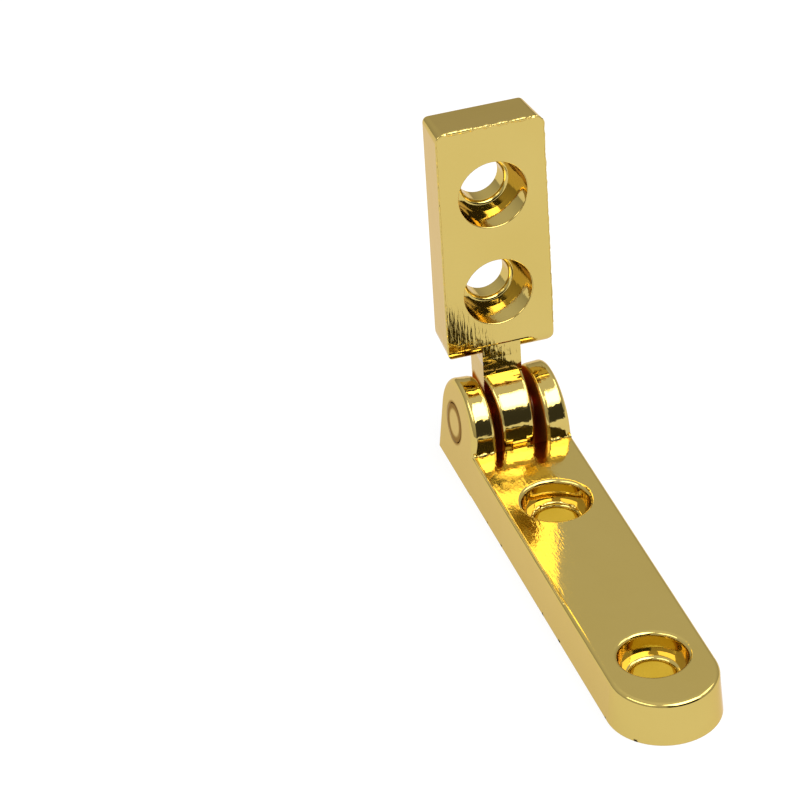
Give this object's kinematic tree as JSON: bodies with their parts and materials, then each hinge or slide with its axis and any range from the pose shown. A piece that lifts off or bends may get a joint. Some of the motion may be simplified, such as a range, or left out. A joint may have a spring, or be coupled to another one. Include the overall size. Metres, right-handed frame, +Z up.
{
  "type": "door hinge",
  "caption": "Small polished strap hinge: a round-ended base leaf with a two-eared clevis, and a shorter block leaf that folds flat onto it on a pressed pin.",
  "frame": {"origin": "underside of the base leaf, at the centre of its two screw holes", "axes": "+X along the base leaf away from the pin towards its round end, +Y along the hinge pin, +Z up out of the mounting face"},
  "size_m": [0.036, 0.0072, 0.024],
  "materials": {
    "base_gold": "polished gold plating",
    "swing_gold": "polished gold plating",
    "pin_gold": "plated over with the ears, dull"
  },
  "bodies": {
    "base": {"base_leaf": "base_gold", "hinge_pin": "pin_gold"},
    "swing": {"swing_leaf": "swing_gold"}
  },
  "joints": [
    {"name": "leaf_swing", "type": "hinge", "parent": "base", "child": "swing", "pos_m": [-0.0181, 0, 0.00334], "axis": [0, 1, 0], "range_deg": [0, 93.5]}
  ]
}
